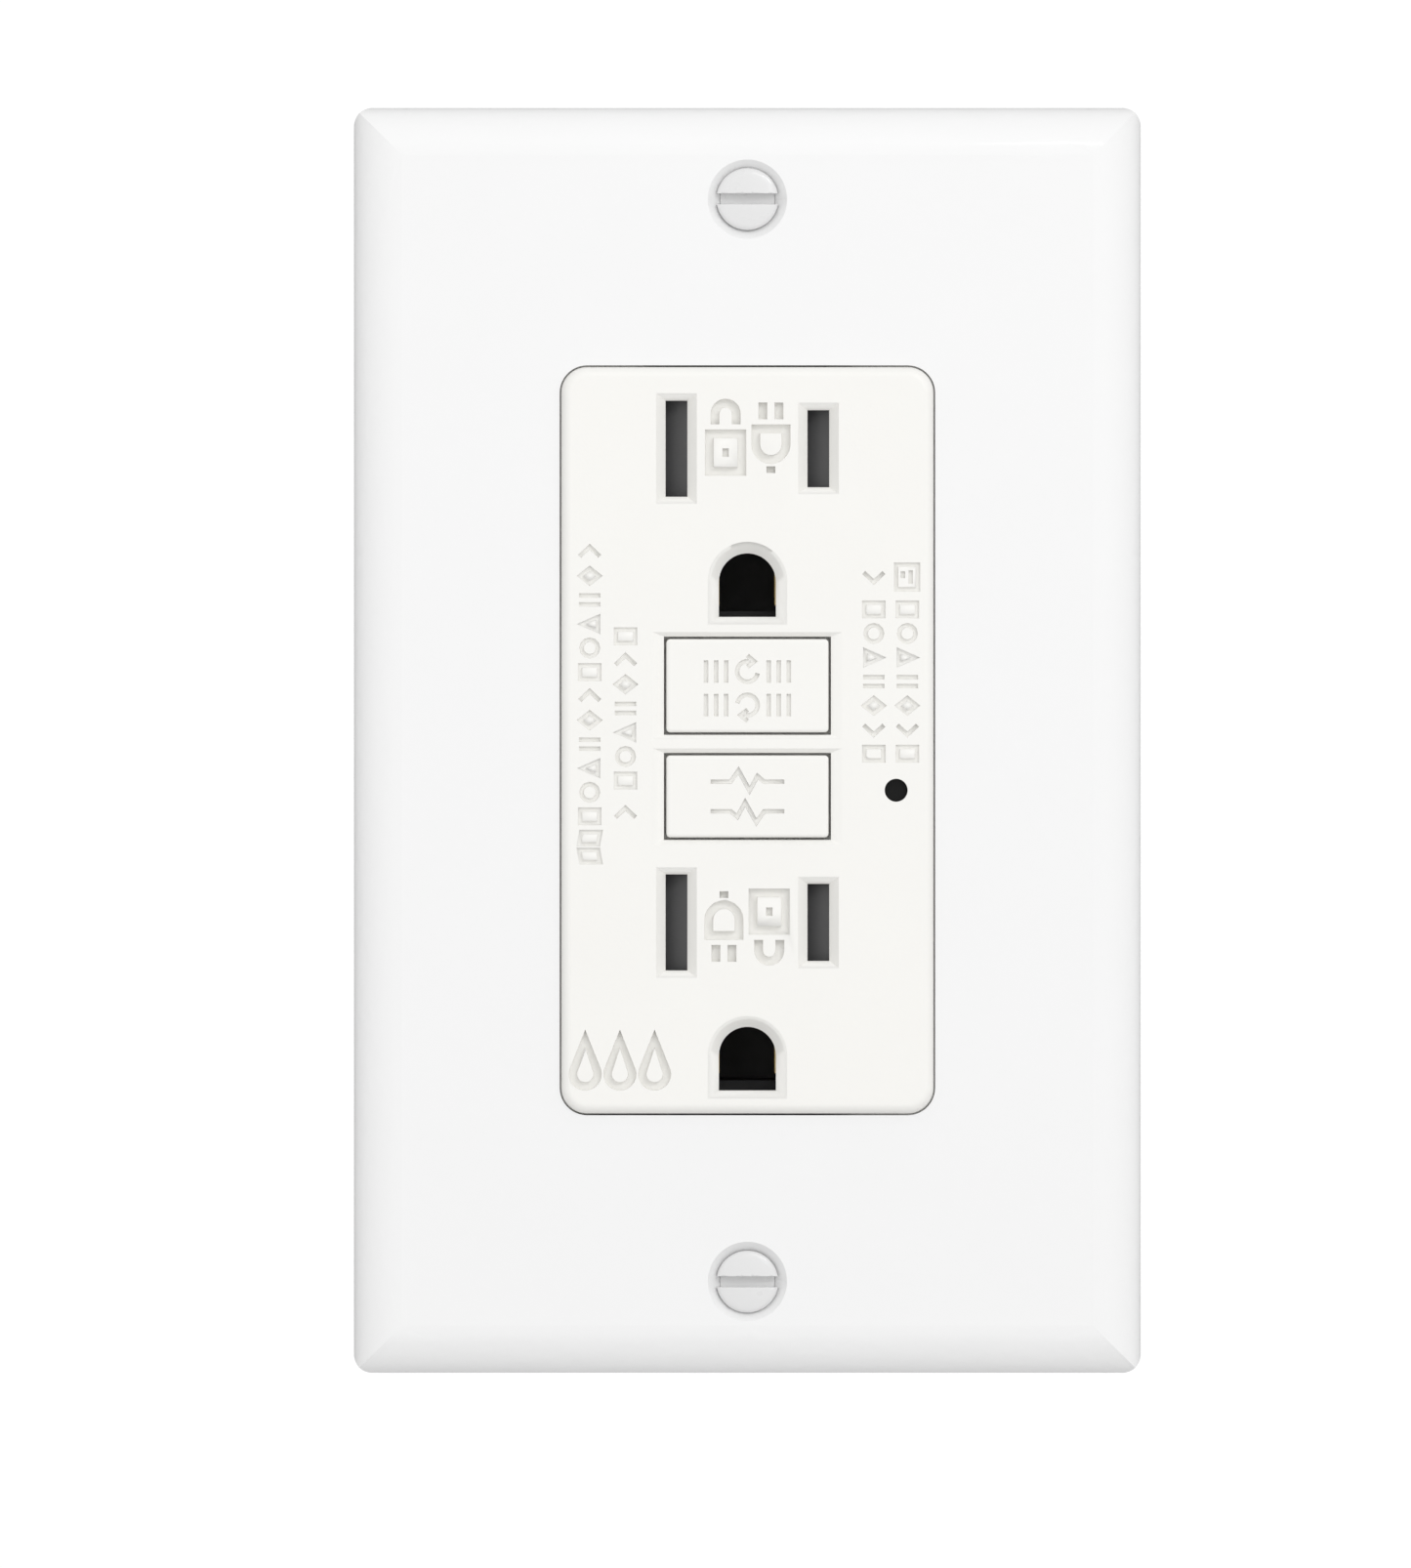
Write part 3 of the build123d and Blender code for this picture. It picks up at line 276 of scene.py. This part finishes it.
for node, piece in nodes.items():
    piece.data.materials.clear()
    piece.data.materials.append(materials[slot_of[node]])


# ---------- meshes ----------
def new_piece(name, mesh, node):
    """A visible piece that stands for one CAD node, with its material and its body."""
    piece = bpy.data.objects.new(name, mesh)
    bpy.context.scene.collection.objects.link(piece)
    mesh.materials.clear()
    mesh.materials.append(materials[slot_of[node]])
    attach(piece, body_of[node])
    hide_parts(node)
    return piece


def mesh_from(work, name):
    """A mesh made from a bmesh, which is freed."""
    mesh = bpy.data.meshes.new(name)
    work.to_mesh(mesh)
    work.free()
    return mesh


def finished(mesh, angle):
    """Smooth shading with sharp edges past an angle in degrees."""
    mesh.validate()
    mesh.shade_smooth()
    mesh.set_sharp_from_angle(angle=math.radians(angle))
    return mesh


def weigh_normals(piece):
    """Keeps flat faces flat where they meet small roundings."""
    weigh = piece.modifiers.new("weigh", "WEIGHTED_NORMAL")
    weigh.keep_sharp = True


def welded_copy(node):
    """A closed copy of a CAD node's mesh, without its stored normals."""
    mesh = nodes[node].data.copy()
    for layer in ("custom_normal", "sharp_face", "sharp_edge"):
        if layer in mesh.attributes:
            mesh.attributes.remove(mesh.attributes[layer])
    work = bmesh.new()
    work.from_mesh(mesh)
    bmesh.ops.remove_doubles(work, verts=work.verts, dist=WELD_DISTANCE)
    flat = math.radians(FLAT_ANGLE)
    bmesh.ops.dissolve_limit(work, angle_limit=flat, verts=work.verts, edges=work.edges)
    work.to_mesh(mesh)
    work.free()
    return mesh


def carved(mesh, cutter):
    """The mesh less the cutter, a bmesh of closed solids."""
    bmesh.ops.recalc_face_normals(cutter, faces=cutter.faces)
    tool = bpy.data.objects.new("cutter", mesh_from(cutter, "cutter"))
    body = bpy.data.objects.new("carved", mesh)
    for temporary in (tool, body):
        bpy.context.scene.collection.objects.link(temporary)
    cut = body.modifiers.new("cut", "BOOLEAN")
    cut.operation = "DIFFERENCE"
    cut.solver = "EXACT"
    cut.use_self = True
    cut.object = tool
    weigh_normals(body)
    evaluated = body.evaluated_get(bpy.context.evaluated_depsgraph_get())
    result = bpy.data.meshes.new_from_object(evaluated)
    for temporary in (tool, body):
        bpy.data.objects.remove(temporary)
    return result


# ---------- engraved pictograms ----------
# A stroke is a run of points in mm, and whether it closes on itself. An icon is a list of strokes.
def arc(centre, radius, start, end, steps):
    """Points on a circle from one angle to another, in degrees."""
    turn = [math.radians(start + (end - start) * i / steps) for i in range(steps + 1)]
    return [(centre[0] + radius * math.cos(a), centre[1] + radius * math.sin(a)) for a in turn]


def bar(start, end):
    """A straight stroke."""
    return ([start, end], False)


def rectangle(half_width, low, high):
    """A closed rectangle between two heights."""
    points = [(-half_width, low), (half_width, low), (half_width, high), (-half_width, high)]
    return (points, True)


PADLOCK = [
    rectangle(1.45, -3.05, 0.3),
    ([(-0.95, 1.15)] + arc((0, 2.1), 0.95, 180, 0, 12) + [(0.95, 1.15)], False),
]
KEYHOLE = [bar((0, -1.0), (0, -1.75))]
PLUG_BODY = [(-1.35, 0.75), (1.35, 0.75), (1.35, -0.65)] + arc((0, -0.65), 1.35, -15, -165, 10)
PLUG = [
    (PLUG_BODY + [(-1.35, -0.65)], True),
    bar((-0.72, 1.6), (-0.72, 3.1)),
    bar((0.72, 1.6), (0.72, 3.1)),
    bar((0, -2.6), (0, -3.2)),
]
DROP = [([(0, 2.2)] + arc((0, -0.95), 1.1, 28, -208, 18), True)]
BOOK = [
    ([(-0.1, -0.75), (-1.2, -0.95), (-1.2, 0.75), (-0.1, 0.95)], True),
    ([(0.4, -0.75), (1.5, -0.95), (1.5, 0.75), (0.4, 0.95)], True),
]
CALENDAR = [rectangle(1.1, -1.0, 0.95), bar((-0.6, 0.3), (0.6, 0.3)), bar((-0.5, -0.4), (0.1, -0.4))]
SQUARE = [rectangle(0.6, -0.85, 0.85)]
RING = [(arc((0, 0), 0.74, 0, 330, 11), True)]
TRIANGLE = [([(-0.62, -0.75), (0.62, -0.75), (0, 0.7)], True)]
DIAMOND = [([(0, -0.85), (0.68, 0), (0, 0.85), (-0.68, 0)], True)]
CHEVRON = [([(-0.4, 0.9), (0.45, 0.0), (-0.4, -0.9)], False)]
POSTS = [bar((-0.4, -0.95), (-0.4, 0.95)), bar((0.4, -0.95), (0.4, 0.95))]
SMALL_SHAPES = [SQUARE, RING, TRIANGLE, POSTS, DIAMOND, CHEVRON]
CIRCLE_ARROW = [
    (arc((0, 0), 0.92, 75, 350, 20), False),
    ([(0.0, 1.42), (0.62, 0.9), (0.0, 0.42)], False),
]
PULSE_POINTS = [(-3.3, -0.1), (-1.5, -0.1), (-0.8, 0.9), (0.2, -0.9), (0.9, 0.4), (1.5, -0.1), (3.3, -0.1)]
PULSE = [(PULSE_POINTS, False)]
UPRIGHT = [bar((0, -1.0), (0, 1.0))]
SHAPE_LINES = [                          # x, start and end height, turn, leading icon
    (-14.1, -10.9, 18.2, 90, BOOK),
    (-10.9, -7.7, 10.4, 90, CHEVRON),
    (14.3, 15.8, -2.3, -90, CALENDAR),
    (11.3, 15.8, -2.5, -90, CHEVRON),
]


def offsets(points, closed, half):
    """The two edges of a ribbon of the given half width round a run of points."""
    count = len(points)
    left, right = [], []
    for i, point in enumerate(points):
        here = Vector(point)
        before = Vector(points[i - 1]) if closed or i else None
        after = Vector(points[(i + 1) % count]) if closed or i < count - 1 else None
        into = (here - before).normalized() if before else (after - here).normalized()
        out = (after - here).normalized() if after else into
        normal = Vector((-(into + out).y, (into + out).x)).normalized()
        reach = half / max(MITRE_LIMIT, normal.dot(Vector((-into.y, into.x))))
        left.append(here + normal * reach)
        right.append(here - normal * reach)
    return left, right


def groove(cutter, stroke, half, place):
    """Adds one stroke to the cutter. place turns a flat point and a depth into a point in space."""
    points, closed = stroke
    depth = ENGRAVE_DEPTH * half
    top = offsets(points, closed, half + ENGRAVE_DRAFT)
    floor = offsets(points, closed, half)
    rows = [
        [cutter.verts.new(place(p, -OVERSHOOT)) for p in top[0]],
        [cutter.verts.new(place(p, -OVERSHOOT)) for p in top[1]],
        [cutter.verts.new(place(p, depth)) for p in floor[1]],
        [cutter.verts.new(place(p, depth)) for p in floor[0]],
    ]
    count = len(points)
    for i in range(count if closed else count - 1):
        j = (i + 1) % count
        for this, following in zip(rows, rows[1:] + rows[:1]):
            cutter.faces.new((this[i], this[j], following[j], following[i]))
    if not closed:
        cutter.faces.new([row[0] for row in rows])
        cutter.faces.new([row[-1] for row in reversed(rows)])


def engrave(cutter, icon, x, z, surface, turn, half):
    """Adds an icon to the cutter, at x and z on a surface that faces the front, turned in degrees."""
    spin = Matrix.Rotation(math.radians(turn), 2)

    def place(point, depth):
        flat = spin @ Vector(point)
        return Vector(((x + flat.x) * MM, surface + depth * MM, (z + flat.y) * MM))

    for stroke in icon:
        groove(cutter, stroke, half, place)


def shape_line(cutter, x, start, end, surface, turn, leader):
    """A column of small shapes led by a larger icon, between two heights."""
    sign = 1 if end > start else -1
    engrave(cutter, leader, x, start + sign * LEADER_INSET, surface, turn, SMALL_STROKE)
    count = int((abs(end - start) - LEADER_LENGTH) / SHAPE_PITCH)
    for i in range(count):
        z = start + sign * (LEADER_LENGTH + LEADER_INSET + i * SHAPE_PITCH)
        engrave(cutter, SMALL_SHAPES[i % len(SMALL_SHAPES)], x, z, surface, turn, SMALL_STROKE)


def face_cutter():
    """Everything engraved in the front cover."""
    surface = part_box("face_cover")[0].y
    cutter = bmesh.new()
    for z, turn, sign in ((UPPER_ICONS_Z, 0, 1), (LOWER_ICONS_Z, 180, -1)):
        engrave(cutter, PADLOCK, PADLOCK_X * sign, z, surface, turn, LARGE_STROKE)
        engrave(cutter, KEYHOLE, PADLOCK_X * sign, z, surface, turn, KEYHOLE_STROKE)
        engrave(cutter, PLUG, PLUG_X * sign, z, surface, turn, LARGE_STROKE)
    for i in (-1, 0, 1):
        engrave(cutter, DROP, DROPS_X + DROP_PITCH * i, DROPS_Z, surface, 0, DROP_STROKE)
    for x, start, end, turn, leader in SHAPE_LINES:
        shape_line(cutter, x, start, end, surface, turn, leader)
    return cutter


def button_cutter(node, rows, icon, flanks):
    """Two rows of one icon, the second upside down, each between upright bars."""
    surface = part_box(node)[0].y
    cutter = bmesh.new()
    for z, turn in rows:
        engrave(cutter, icon, 0, z, surface, turn, SMALL_STROKE)
        for x in flanks:
            for side in (-1, 1):
                engrave(cutter, UPRIGHT, side * x, z, surface, 0, SMALL_STROKE)
    return cutter


def engraved_piece(node, cutter):
    """A node's engraved copy, in the node's place."""
    mesh = finished(carved(welded_copy(node), cutter), FACE_SHARP)
    weigh_normals(new_piece(node + "_engraved", mesh, node))


# ---------- screws and springs ----------
def along(axis):
    """A rotation that carries +Z to an axis."""
    return Vector((0, 0, 1)).rotation_difference(Vector(axis)).to_matrix().to_4x4()


def grid_faces(work, rings):
    """Quads between rings of points, each ring closed on itself, and a face over each end."""
    count = len(rings[0])
    for low, high in zip(rings, rings[1:]):
        for i in range(count):
            work.faces.new((low[i], low[(i + 1) % count], high[(i + 1) % count], high[i]))
    work.faces.new(list(reversed(rings[0])))
    work.faces.new(rings[-1])


def ring_at(work, place, radius_at, height, segments):
    """A ring round local Z. radius_at gives the radius for each angle."""
    ring = []
    for i in range(segments):
        angle = math.tau * i / segments
        radius = radius_at(angle)
        point = Vector((radius * math.cos(angle), radius * math.sin(angle), height))
        ring.append(work.verts.new(place @ point))
    return ring


def add_thread(work, place, start, end, crest, root):
    """A closed shank with a helical thread, from start to end along local Z."""
    rings = []
    count = int((end - start) / SCREW_PITCH * THREAD_STEPS)
    for k in range(count + 1):
        height = start + (end - start) * k / count
        fade_in = (height - start) / SCREW_PITCH + THREAD_START
        fade_out = (end - height) / SCREW_PITCH
        fade = max(0.0, min(1.0, fade_in, fade_out))

        def radius_at(angle, height=height, fade=fade):
            phase = (height / SCREW_PITCH - angle / math.tau) % 1.0
            tooth = max(0.0, 1 - abs(phase - 0.5) * TOOTH_TAPER)
            return root + (crest - root) * min(1.0, tooth * TOOTH_CREST) * fade

        rings.append(ring_at(work, place, radius_at, height, THREAD_SEGMENTS))
    grid_faces(work, rings)


def add_lathe(work, place, profile):
    """A closed solid of revolution from (radius, height) points, none on the axis."""
    rings = []
    for radius, height in profile:
        rings.append(ring_at(work, place, lambda angle, r=radius: r, height, LATHE_SEGMENTS))
    grid_faces(work, rings)


def add_slot(work, place, width, depth, reach):
    """A straight screwdriver slot across a head whose top is at height 0."""
    size = Matrix.Diagonal((2 * reach, width, 2 * depth, 1))
    bmesh.ops.create_cube(work, size=1, matrix=place @ size)


def dome(radius, edge):
    """Profile of a domed head whose top is at height 0, from its edge to near its middle."""
    ball = (radius * radius + edge * edge) / (2 * -edge)
    points = []
    for i in range(DOME_STEPS + 1):
        r = radius * (1 - i / DOME_STEPS) + AXIS_GAP
        points.append((min(r, radius), math.sqrt(ball * ball - r * r) - ball))
    return points


def screw_pair(node, profiles, slot, thread):
    """Both screws of a node: heads turned from profiles and slotted, then threaded shanks."""
    low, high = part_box(node)
    centre_z = high.z - (high.x - low.x) / 2
    name = node + "_threaded"
    heads, slots, threads = bmesh.new(), bmesh.new(), bmesh.new()
    for z in (centre_z, -centre_z):
        place = Matrix.Translation((0, low.y, z)) @ along((0, -1, 0))
        for profile in profiles:
            add_lathe(heads, place, profile)
        add_slot(slots, place, *slot)
    mesh = carved(mesh_from(heads, name), slots)
    threads.from_mesh(mesh)
    for z in (centre_z, -centre_z):
        place = Matrix.Translation((0, low.y, z)) @ along((0, 1, 0))
        add_thread(threads, place, *thread)
    threads.to_mesh(mesh)
    threads.free()
    new_piece(name, finished(mesh, SCREW_SHARP), node)


def plate_screws():
    """Oval-head screws with a slot, painted white, threaded behind."""
    low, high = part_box("plate_screws")
    head_r = (high.x - low.x) / 2 * OVAL_HEAD_SHARE
    shank_r, root_r, edge = 1.72 * MM, 1.32 * MM, 0.77 * MM
    neck = edge + (head_r - shank_r) / CONE_SLOPE
    cone = [(shank_r * 0.9, -neck), (shank_r, -neck + 0.05 * MM), (head_r, -edge)]
    rim = [(head_r, -0.42 * MM), (head_r - 0.04 * MM, -0.3 * MM), (head_r - 0.13 * MM, -0.21 * MM)]
    crown = dome(head_r - 0.26 * MM, -0.15 * MM)
    slot = (0.98 * MM, 1.15 * MM, head_r)
    thread = (neck - 0.2 * MM, high.y - low.y, shank_r, root_r)
    screw_pair("plate_screws", [cone + rim + crown], slot, thread)


def mounting_screws():
    """Pan-head box screws with a slot, a plain neck and a full thread."""
    low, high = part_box("mounting_screws")
    head_r = (high.x - low.x) / 2
    head, rounding, chamfer = 1.9 * MM, 0.8 * MM, 0.1 * MM
    neck_r, neck_end = 1.54 * MM, 3.62 * MM
    crest_r, root_r = 1.74 * MM, 1.33 * MM
    pan = [(head_r * 0.98, -head), (head_r, -head + chamfer)]
    for angle in (0, 0.3, 0.6, 0.9, 1.2, 1.57):
        pan.append((head_r - rounding * (1 - math.cos(angle)), -rounding * (1 - math.sin(angle))))
    neck = [(neck_r, -neck_end), (neck_r, -head + chamfer)]
    slot = (1.0 * MM, 1.0 * MM, head_r + 0.2 * MM)
    thread = (neck_end - 0.02 * MM, high.y - low.y, crest_r, root_r)
    screw_pair("mounting_screws", [pan, neck], slot, thread)


def coil_mesh(name, radius, wire, length, place, turns):
    """A coil spring round local Z, its end turns closed up."""
    work = bmesh.new()
    steps = turns * COIL_STEPS
    rings = []
    for k in range(steps + 1):
        share = k / steps
        angle = math.tau * turns * share
        lead = share - END_CLOSING * math.sin(math.tau * share)
        height = wire / 2 + (length - wire) * lead
        spoke = Vector((math.cos(angle), math.sin(angle), 0))
        ring = []
        for i in range(WIRE_SEGMENTS):
            around = math.tau * i / WIRE_SEGMENTS
            rise = Vector((0, 0, height + wire / 2 * math.sin(around)))
            point = spoke * (radius + wire / 2 * math.cos(around)) + rise
            ring.append(work.verts.new(place @ point))
        rings.append(ring)
    grid_faces(work, rings)
    bmesh.ops.recalc_face_normals(work, faces=work.faces)
    return finished(mesh_from(work, name), COIL_SHARP)


def coil_spring(node, axis, wire_mm, turns, joint):
    """A real coil in place of a spring's envelope; a spring on a joint gets a mesh of its own."""
    low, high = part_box(node)
    lengthwise = [abs(part) for part in axis].index(1)
    across = 1 if lengthwise == 0 else 0
    near, far = (low, high) if axis[lengthwise] > 0 else (high, low)
    radius = (high[across] - low[across]) / 2 - wire_mm * MM / 2
    length = high[lengthwise] - low[lengthwise]
    base = (low + high) / 2
    base[lengthwise] = near[lengthwise]
    place = Matrix.Translation(base) @ along(axis)
    mesh = coil_mesh(node + "_coil", radius, wire_mm * MM, length, place, turns)
    spring = new_piece(node + "_coil", mesh, node)
    if joint:
        anchor = (low + high) / 2
        anchor[lengthwise] = far[lengthwise]
        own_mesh(spring)


def test_leaf():
    """The leaf under the test button, on a mesh of its own."""
    mesh = finished(welded_copy("test_leaf"), LEAF_SHARP)
    leaf = new_piece("test_leaf_spring", mesh, "test_leaf")
    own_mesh(leaf)


# ---------- stage ----------
def studio_light():
    """An even white studio, brightest in front, darker towards the floor, with a white backdrop."""
    world = bpy.data.worlds.new("studio")
    bpy.context.scene.world = world
    world.use_nodes = True
    tree = world.node_tree
    background = tree.nodes["Background"]
    background.inputs["Color"].default_value = (1, 1, 1, 1)
    direction = tree.nodes.new("ShaderNodeTexCoord").outputs["Generated"]

    lean = tree.nodes.new("ShaderNodeVectorMath")
    lean.operation = "DOT_PRODUCT"
    lean.inputs[1].default_value = LIGHT_LEAN
    tree.links.new(direction, lean.inputs[0])
    parts = tree.nodes.new("ShaderNodeSeparateXYZ")
    tree.links.new(direction, parts.inputs["Vector"])
    height = tree.nodes.new("ShaderNodeMapRange")
    height.inputs["From Min"].default_value = -1
    height.inputs["From Max"].default_value = HORIZON
    height.inputs["To Min"].default_value = LIGHT_LEVEL + LIGHT_FLOOR
    height.inputs["To Max"].default_value = LIGHT_LEVEL
    tree.links.new(parts.outputs["Z"], height.inputs["Value"])
    level = tree.nodes.new("ShaderNodeMath")
    level.operation = "ADD"
    tree.links.new(lean.outputs["Value"], level.inputs[0])
    tree.links.new(height.outputs["Result"], level.inputs[1])

    behind = tree.nodes.new("ShaderNodeMapRange")
    behind.interpolation_type = "SMOOTHSTEP"
    behind.inputs["From Min"].default_value = BACKDROP_START
    behind.inputs["From Max"].default_value = BACKDROP_FULL
    tree.links.new(parts.outputs["Y"], behind.inputs["Value"])
    backdrop = tree.nodes.new("ShaderNodeMix")
    backdrop.inputs["B"].default_value = BACKDROP_LEVEL
    tree.links.new(behind.outputs["Result"], backdrop.inputs["Factor"])
    tree.links.new(level.outputs["Value"], backdrop.inputs["A"])
    tree.links.new(backdrop.outputs["Result"], background.inputs["Strength"])


def floor():
    """A pale round floor below the object."""
    work = bmesh.new()
    bmesh.ops.create_circle(work, cap_ends=True, segments=FLOOR_SEGMENTS, radius=FLOOR_RADIUS)
    disc = bpy.data.objects.new("floor", mesh_from(work, "floor"))
    disc.location = (0, 0, cad_box[0].z - FLOOR_DROP)
    shader("floor_pale", (0.8, 0.8, 0.8), 0.7)
    disc.data.materials.append(materials["floor_pale"])
    bpy.context.scene.collection.objects.link(disc)


def softbox(name, place, size, power):
    """A rectangular light aimed at the object's centre."""
    light = bpy.data.lights.new(name, "AREA")
    light.shape = "RECTANGLE"
    light.size, light.size_y = size
    light.energy = power
    lamp = bpy.data.objects.new(name, light)
    lamp.location = (cad_box[0] + cad_box[1]) / 2 + Vector(place)
    lamp.rotation_euler = (-Vector(place)).to_track_quat("-Z", "Y").to_euler()
    bpy.context.scene.collection.objects.link(lamp)


def camera():
    """A straight front view, upright, from a little left of and below the object's middle."""
    lens = bpy.data.cameras.new("camera")
    lens.sensor_fit = "AUTO"
    lens.sensor_width = SENSOR
    lens.lens = SENSOR * (CAMERA_DISTANCE + cad_box[0].y) / VIEW_HEIGHT
    eye = bpy.data.objects.new("camera", lens)
    eye.location = (CAMERA_X, -CAMERA_DISTANCE, CAMERA_Z)
    eye.rotation_euler = (math.radians(90), 0, 0)
    bpy.context.scene.collection.objects.link(eye)
    bpy.context.scene.camera = eye
    bpy.context.scene.view_settings.view_transform = "Standard"


engraved_piece("face_cover", face_cutter())
engraved_piece("reset_button", button_cutter("reset_button", RESET_ROWS, CIRCLE_ARROW, RESET_FLANKS))
engraved_piece("test_button", button_cutter("test_button", TEST_ROWS, PULSE, ()))
plate_screws()
mounting_screws()
for spring in SPRINGS:
    coil_spring(*spring)
test_leaf()
floor()
studio_light()
for light_box in SOFTBOXES:
    softbox(*light_box)
camera()
